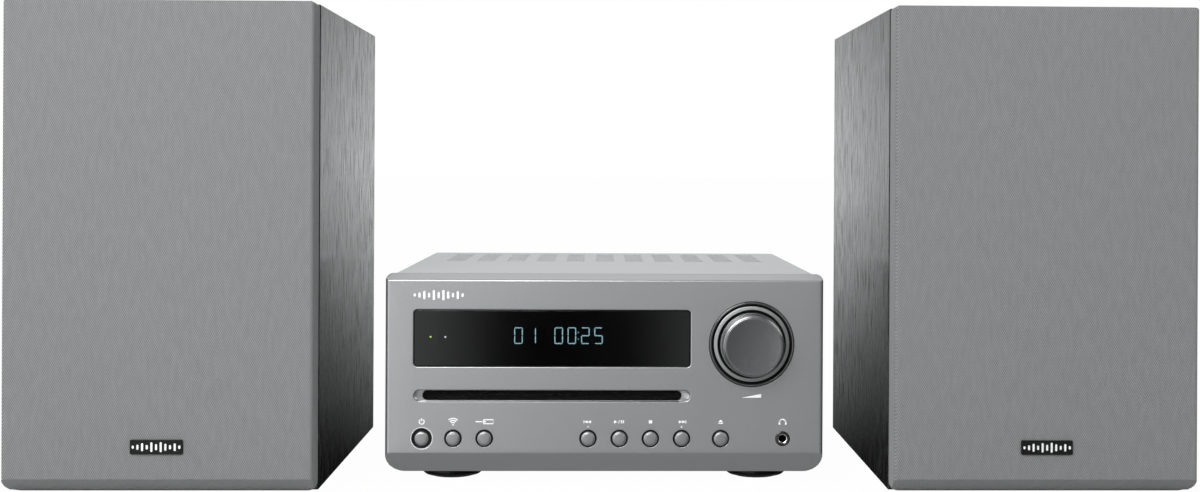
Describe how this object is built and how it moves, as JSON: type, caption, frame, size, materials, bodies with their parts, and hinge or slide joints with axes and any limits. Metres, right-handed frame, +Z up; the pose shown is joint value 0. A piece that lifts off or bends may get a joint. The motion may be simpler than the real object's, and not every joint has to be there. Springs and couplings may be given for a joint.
{
  "type": "mini hifi system",
  "caption": "Mini hi-fi system: a slot-loading disc receiver with display, push buttons and a volume knob, between two cloth-grilled bookshelf loudspeakers.",
  "frame": {"origin": "on the shelf, at the centre of the footprint of the receiver and both loudspeakers", "axes": "+X to the listener's right, +Y away from the listener, +Z up; the fronts face -Y"},
  "size_m": [0.5562, 0.264, 0.2296],
  "materials": {
    "panel_metal": "fine satin, silver grey",
    "cover_steel": "smooth light grey paint",
    "smoked_pane": "smoked, polished",
    "display": "dark glass",
    "ring_metal": "satin with a dark polished bevel",
    "knob_metal": "spun satin",
    "button_metal": "satin",
    "shaft_steel": "turned",
    "inner_steel": "zinc plated",
    "foot_plastic": "moulded, polished",
    "black_plastic": "moulded, fine texture",
    "circuit_board": "green solder mask",
    "heat_sink_alloy": "extruded",
    "transformer_core": "varnished laminations",
    "rubber": "soft black",
    "felt": "black felt",
    "cabinet_vinyl": "black wood-grain vinyl on fibreboard",
    "baffle_board": "black painted fibreboard",
    "grille_plastic": "moulded black",
    "grille_cloth": "grey twill",
    "badge_metal": "dark, with a bright edge",
    "woofer_steel": "black painted",
    "cone_paper": "coated paper",
    "clamp_red": "moulded red",
    "clamp_black": "moulded black"
  },
  "bodies": {
    "receiver": {"front_panel": "panel_metal", "display_window": "smoked_pane", "display_module": "display", "slot_felt": "felt", "volume_ring": "ring_metal", "phones_jack": "black_plastic", "front_board": "circuit_board", "top_cover": "cover_steel", "base_tray": "inner_steel", "rear_panel": "cover_steel", "speaker_sockets": "black_plastic", "jack_block": "black_plastic", "mains_inlet": "black_plastic", "front_left_foot": "foot_plastic", "front_right_foot": "foot_plastic", "rear_left_foot": "foot_plastic", "rear_right_foot": "foot_plastic", "main_board": "circuit_board", "heat_sink": "heat_sink_alloy", "transformer": "transformer_core", "deck_frame": "inner_steel"},
    "volume_control": {"volume_knob": "knob_metal", "volume_shaft": "shaft_steel"},
    "power_key": {"power_button": "button_metal"},
    "wireless_key": {"wireless_button": "button_metal"},
    "source_key": {"source_button": "button_metal"},
    "previous_key": {"previous_button": "button_metal"},
    "play_key": {"play_button": "button_metal"},
    "stop_key": {"stop_button": "button_metal"},
    "next_key": {"next_button": "button_metal"},
    "eject_key": {"eject_button": "button_metal"},
    "disc_turntable": {"turntable": "black_plastic"},
    "sled": {"pickup_sled": "black_plastic"},
    "roller": {"loading_roller": "rubber"},
    "left_speaker": {"left_cabinet": "cabinet_vinyl", "left_baffle": "baffle_board", "left_woofer_frame": "woofer_steel", "left_woofer_surround": "rubber", "left_tweeter": "black_plastic", "left_bass_port": "black_plastic", "left_terminal_cup": "black_plastic"},
    "left_grille": {"left_grille_frame": "grille_plastic", "left_grille_cloth": "grille_cloth", "left_badge": "badge_metal"},
    "left_cone": {"left_woofer_cone": "cone_paper"},
    "left_red_clamp": {"left_red_lever": "clamp_red"},
    "left_black_clamp": {"left_black_lever": "clamp_black"},
    "right_speaker": {"right_cabinet": "cabinet_vinyl", "right_baffle": "baffle_board", "right_woofer_frame": "woofer_steel", "right_woofer_surround": "rubber", "right_tweeter": "black_plastic", "right_bass_port": "black_plastic", "right_terminal_cup": "black_plastic"},
    "right_grille": {"right_grille_frame": "grille_plastic", "right_grille_cloth": "grille_cloth", "right_badge": "badge_metal"},
    "right_cone": {"right_woofer_cone": "cone_paper"},
    "right_red_clamp": {"right_red_lever": "clamp_red"},
    "right_black_clamp": {"right_black_lever": "clamp_black"}
  },
  "joints": [
    {"name": "volume_turn", "type": "hinge", "parent": "receiver", "child": "volume_control", "pos_m": [0.0705, -0.10405, 0.0685], "axis": [0, 1, 0], "continuous": true},
    {"name": "power_press", "type": "slide", "parent": "receiver", "child": "power_key", "axis": [0, 1, 0], "range_m": [0, 0.0008]},
    {"name": "wireless_press", "type": "slide", "parent": "receiver", "child": "wireless_key", "axis": [0, 1, 0], "range_m": [0, 0.0008]},
    {"name": "source_press", "type": "slide", "parent": "receiver", "child": "source_key", "axis": [0, 1, 0], "range_m": [0, 0.0008]},
    {"name": "previous_press", "type": "slide", "parent": "receiver", "child": "previous_key", "axis": [0, 1, 0], "range_m": [0, 0.0008]},
    {"name": "play_press", "type": "slide", "parent": "receiver", "child": "play_key", "axis": [0, 1, 0], "range_m": [0, 0.0008]},
    {"name": "stop_press", "type": "slide", "parent": "receiver", "child": "stop_key", "axis": [0, 1, 0], "range_m": [0, 0.0008]},
    {"name": "next_press", "type": "slide", "parent": "receiver", "child": "next_key", "axis": [0, 1, 0], "range_m": [0, 0.0008]},
    {"name": "eject_press", "type": "slide", "parent": "receiver", "child": "eject_key", "axis": [0, 1, 0], "range_m": [0, 0.0008]},
    {"name": "turntable_spin", "type": "hinge", "parent": "receiver", "child": "disc_turntable", "pos_m": [-0.0252, -0.02405, 0.037], "axis": [0, 0, 1], "continuous": true},
    {"name": "sled_slide", "type": "slide", "parent": "receiver", "child": "sled", "axis": [1, 0, 0], "range_m": [0, 0.033]},
    {"name": "roller_spin", "type": "hinge", "parent": "receiver", "child": "roller", "pos_m": [-0.0252, -0.08005, 0.038], "axis": [1, 0, 0], "continuous": true},
    {"name": "left_speaker_place", "type": "slide", "parent": "receiver", "child": "left_speaker", "axis": [-1, 0, 0], "range_m": [-0.02, 0.25]},
    {"name": "left_grille_pull", "type": "slide", "parent": "left_speaker", "child": "left_grille", "axis": [0, -1, 0], "range_m": [0, 0.03]},
    {"name": "left_cone_stroke", "type": "slide", "parent": "left_speaker", "child": "left_cone", "axis": [0, -1, 0], "range_m": [-0.003, 0.003]},
    {"name": "left_red_clamp_open", "type": "hinge", "parent": "left_speaker", "child": "left_red_clamp", "pos_m": [-0.2196, 0.07595, 0.0655], "axis": [-1, 0, 0], "range_deg": [0, 25]},
    {"name": "left_black_clamp_open", "type": "hinge", "parent": "left_speaker", "child": "left_black_clamp", "pos_m": [-0.1936, 0.07595, 0.0655], "axis": [-1, 0, 0], "range_deg": [0, 25]},
    {"name": "right_speaker_place", "type": "slide", "parent": "receiver", "child": "right_speaker", "axis": [1, 0, 0], "range_m": [-0.02, 0.25]},
    {"name": "right_grille_pull", "type": "slide", "parent": "right_speaker", "child": "right_grille", "axis": [0, -1, 0], "range_m": [0, 0.03]},
    {"name": "right_cone_stroke", "type": "slide", "parent": "right_speaker", "child": "right_cone", "axis": [0, -1, 0], "range_m": [-0.003, 0.003]},
    {"name": "right_red_clamp_open", "type": "hinge", "parent": "right_speaker", "child": "right_red_clamp", "pos_m": [0.1936, 0.07595, 0.0655], "axis": [-1, 0, 0], "range_deg": [0, 25]},
    {"name": "right_black_clamp_open", "type": "hinge", "parent": "right_speaker", "child": "right_black_clamp", "pos_m": [0.2196, 0.07595, 0.0655], "axis": [-1, 0, 0], "range_deg": [0, 25]}
  ]
}
